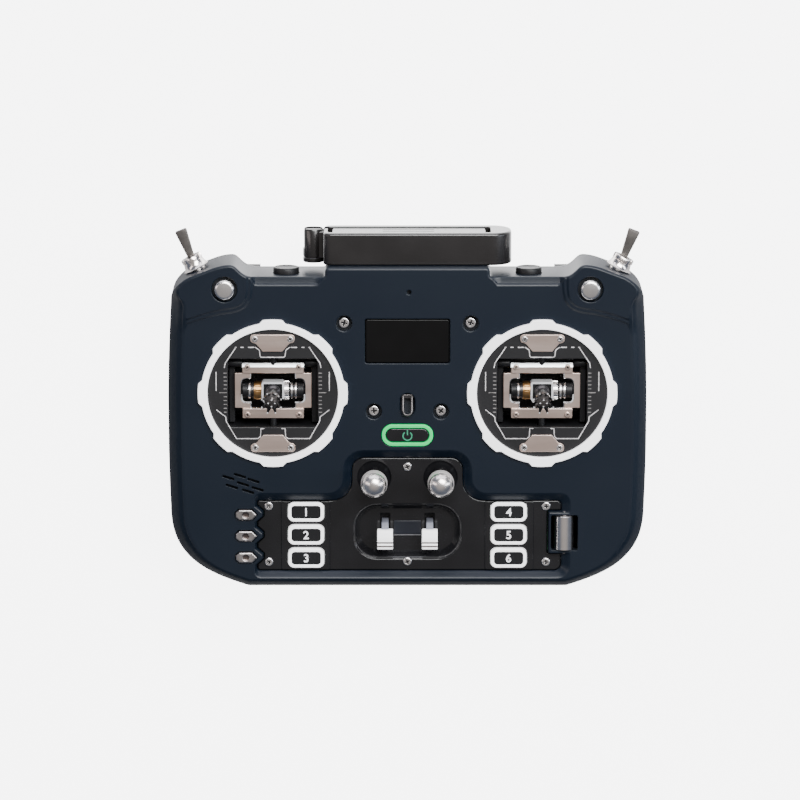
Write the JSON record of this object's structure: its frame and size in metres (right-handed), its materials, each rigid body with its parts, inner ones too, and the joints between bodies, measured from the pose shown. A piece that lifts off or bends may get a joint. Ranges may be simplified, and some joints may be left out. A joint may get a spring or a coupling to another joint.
{
  "type": "radio transmitter controller",
  "caption": "Handheld radio transmitter controller with gimbal sticks, toggles, keys, knobs, a roller and a folding top antenna.",
  "frame": {"origin": "centre of the base of the bounding box, where the controller rests on its back", "axes": "+X to the right of the face, +Y towards the antenna edge, +Z out of the face"},
  "size_m": [0.19, 0.1438, 0.062],
  "materials": {
    "navy_shell": "satin moulded navy plastic with a fine texture",
    "gloss_black": "polished black plastic",
    "satin_black": "satin black plastic",
    "white_plastic": "white moulded plastic",
    "warm_steel": "fine brushed warm steel",
    "bright_chrome": "polished plated metal",
    "screen_glass": "smooth dark window",
    "green_light": "lit translucent green ring",
    "circuit_board": "green solder mask",
    "cell_wrap": "blue shrink wrap"
  },
  "bodies": {
    "root": {"front_shell": "navy_shell", "rear_shell": "navy_shell", "control_panel": "gloss_black", "antenna_cradle": "gloss_black", "left_gimbal_plate": "satin_black", "right_gimbal_plate": "satin_black", "left_gimbal_frame": "satin_black", "right_gimbal_frame": "satin_black", "speaker": "satin_black", "left_potentiometer": "satin_black", "right_potentiometer": "satin_black", "left_lever_switch": "satin_black", "right_lever_switch": "satin_black", "display_module": "satin_black", "left_gimbal_ring": "white_plastic", "right_gimbal_ring": "white_plastic", "case_screw_1": "warm_steel", "case_screw_2": "warm_steel", "case_screw_3": "warm_steel", "case_screw_4": "warm_steel", "antenna_pin": "warm_steel", "rf_module": "warm_steel", "left_toggle_body": "bright_chrome", "right_toggle_body": "bright_chrome", "strap_hook": "bright_chrome", "display_window": "screen_glass", "power_ring": "green_light", "main_board": "circuit_board", "panel_board": "circuit_board", "battery_cell_1": "cell_wrap", "battery_cell_2": "cell_wrap"},
    "left_yoke_body": {"left_gimbal_yoke": "warm_steel"},
    "left_stick_body": {"left_stick": "bright_chrome"},
    "left_toggle_lever_body": {"left_toggle_lever": "warm_steel"},
    "left_lever_body": {"left_lever": "white_plastic"},
    "left_knob_body": {"left_knob": "bright_chrome"},
    "left_face_button_body": {"left_face_button": "bright_chrome"},
    "left_shoulder_button_body": {"left_shoulder_button": "satin_black"},
    "left_rear_slider_body": {"left_rear_slider": "satin_black"},
    "right_yoke_body": {"right_gimbal_yoke": "warm_steel"},
    "right_stick_body": {"right_stick": "bright_chrome"},
    "right_toggle_lever_body": {"right_toggle_lever": "warm_steel"},
    "right_lever_body": {"right_lever": "white_plastic"},
    "right_knob_body": {"right_knob": "bright_chrome"},
    "right_face_button_body": {"right_face_button": "bright_chrome"},
    "right_shoulder_button_body": {"right_shoulder_button": "satin_black"},
    "right_rear_slider_body": {"right_rear_slider": "satin_black"},
    "mode_key_1_body": {"mode_key_1": "white_plastic"},
    "mode_key_2_body": {"mode_key_2": "white_plastic"},
    "mode_key_3_body": {"mode_key_3": "white_plastic"},
    "mode_key_4_body": {"mode_key_4": "white_plastic"},
    "mode_key_5_body": {"mode_key_5": "white_plastic"},
    "mode_key_6_body": {"mode_key_6": "white_plastic"},
    "menu_key_1_body": {"menu_key_1": "warm_steel"},
    "menu_key_2_body": {"menu_key_2": "warm_steel"},
    "menu_key_3_body": {"menu_key_3": "warm_steel"},
    "power_key_body": {"power_key": "gloss_black"},
    "roller_body": {"roller": "bright_chrome"},
    "antenna_blade_body": {"antenna_blade": "gloss_black"},
    "battery_door_body": {"battery_door": "navy_shell"}
  },
  "joints": [
    {"name": "left_stick_sideways", "type": "hinge", "parent": "root", "child": "left_yoke_body", "pos_m": [-0.0533, 0.0076, 0.0365], "axis": [0, 1, 0], "range_deg": [-28, 28], "stiffness_Nm_per_rad": 0.05},
    {"name": "left_stick_forward", "type": "hinge", "parent": "left_yoke_body", "child": "left_stick_body", "pos_m": [-0.0533, 0.0076, 0.0365], "axis": [1, 0, 0], "range_deg": [-28, 28]},
    {"name": "left_toggle_swing", "type": "hinge", "parent": "root", "child": "left_toggle_lever_body", "pos_m": [-0.08503, 0.05871, 0.03], "axis": [0.891, 0.454, 0], "range_deg": [-12, 12]},
    {"name": "left_lever_tilt", "type": "hinge", "parent": "root", "child": "left_lever_body", "pos_m": [-0.0089, -0.0467, 0.031], "axis": [1, 0, 0], "range_deg": [-14, 14]},
    {"name": "left_knob_turn", "type": "hinge", "parent": "root", "child": "left_knob_body", "pos_m": [-0.0132, -0.0272, 0.05], "axis": [0, 0, 1], "range_deg": [-140, 140]},
    {"name": "left_face_button_press", "type": "slide", "parent": "root", "child": "left_face_button_body", "axis": [0, 0, -1], "range_m": [0, 0.001], "stiffness_N_per_m": 400},
    {"name": "left_shoulder_button_press", "type": "slide", "parent": "root", "child": "left_shoulder_button_body", "axis": [0, -1, 0], "range_m": [0, 0.001], "stiffness_N_per_m": 400},
    {"name": "left_rear_slider_travel", "type": "slide", "parent": "root", "child": "left_rear_slider_body", "axis": [0, 1, 0], "range_m": [-0.012, 0]},
    {"name": "right_stick_sideways", "type": "hinge", "parent": "root", "child": "right_yoke_body", "pos_m": [0.0533, 0.0076, 0.0365], "axis": [0, 1, 0], "range_deg": [-28, 28], "stiffness_Nm_per_rad": 0.05},
    {"name": "right_stick_forward", "type": "hinge", "parent": "right_yoke_body", "child": "right_stick_body", "pos_m": [0.0533, 0.0076, 0.0365], "axis": [1, 0, 0], "range_deg": [-28, 28], "stiffness_Nm_per_rad": 0.05},
    {"name": "right_toggle_swing", "type": "hinge", "parent": "root", "child": "right_toggle_lever_body", "pos_m": [0.08503, 0.05871, 0.03], "axis": [0.891, -0.454, 0], "range_deg": [-12, 12]},
    {"name": "right_lever_tilt", "type": "hinge", "parent": "root", "child": "right_lever_body", "pos_m": [0.0089, -0.0467, 0.031], "axis": [1, 0, 0], "range_deg": [-14, 14]},
    {"name": "right_knob_turn", "type": "hinge", "parent": "root", "child": "right_knob_body", "pos_m": [0.0132, -0.0272, 0.05], "axis": [0, 0, 1], "range_deg": [-140, 140]},
    {"name": "right_face_button_press", "type": "slide", "parent": "root", "child": "right_face_button_body", "axis": [0, 0, -1], "range_m": [0, 0.001], "stiffness_N_per_m": 400},
    {"name": "right_shoulder_button_press", "type": "slide", "parent": "root", "child": "right_shoulder_button_body", "axis": [0, -1, 0], "range_m": [0, 0.001], "stiffness_N_per_m": 400},
    {"name": "right_rear_slider_travel", "type": "slide", "parent": "root", "child": "right_rear_slider_body", "axis": [0, 1, 0], "range_m": [-0.012, 0]},
    {"name": "mode_key_1_press", "type": "slide", "parent": "root", "child": "mode_key_1_body", "axis": [0, 0, -1], "range_m": [0, 0.0005], "stiffness_N_per_m": 400},
    {"name": "mode_key_2_press", "type": "slide", "parent": "root", "child": "mode_key_2_body", "axis": [0, 0, -1], "range_m": [0, 0.0005], "stiffness_N_per_m": 400},
    {"name": "mode_key_3_press", "type": "slide", "parent": "root", "child": "mode_key_3_body", "axis": [0, 0, -1], "range_m": [0, 0.0005], "stiffness_N_per_m": 400},
    {"name": "mode_key_4_press", "type": "slide", "parent": "root", "child": "mode_key_4_body", "axis": [0, 0, -1], "range_m": [0, 0.0005], "stiffness_N_per_m": 400},
    {"name": "mode_key_5_press", "type": "slide", "parent": "root", "child": "mode_key_5_body", "axis": [0, 0, -1], "range_m": [0, 0.0005], "stiffness_N_per_m": 400},
    {"name": "mode_key_6_press", "type": "slide", "parent": "root", "child": "mode_key_6_body", "axis": [0, 0, -1], "range_m": [0, 0.0005], "stiffness_N_per_m": 400},
    {"name": "menu_key_1_press", "type": "slide", "parent": "root", "child": "menu_key_1_body", "axis": [0, 0, -1], "range_m": [0, 0.0005], "stiffness_N_per_m": 400},
    {"name": "menu_key_2_press", "type": "slide", "parent": "root", "child": "menu_key_2_body", "axis": [0, 0, -1], "range_m": [0, 0.0005], "stiffness_N_per_m": 400},
    {"name": "menu_key_3_press", "type": "slide", "parent": "root", "child": "menu_key_3_body", "axis": [0, 0, -1], "range_m": [0, 0.0005], "stiffness_N_per_m": 400},
    {"name": "power_key_press", "type": "slide", "parent": "root", "child": "power_key_body", "axis": [0, 0, -1], "range_m": [0, 0.0005], "stiffness_N_per_m": 400},
    {"name": "roller_turn", "type": "hinge", "parent": "root", "child": "roller_body", "pos_m": [0.0625, -0.0494, 0.0399], "axis": [0, 1, 0], "continuous": true},
    {"name": "antenna_fold", "type": "hinge", "parent": "root", "child": "antenna_blade_body", "pos_m": [-0.0373, 0.06681, 0.023], "axis": [0, 0, 1], "range_deg": [0, 90]},
    {"name": "battery_door_slide", "type": "slide", "parent": "root", "child": "battery_door_body", "axis": [0, -1, 0], "range_m": [0, 0.046]}
  ]
}
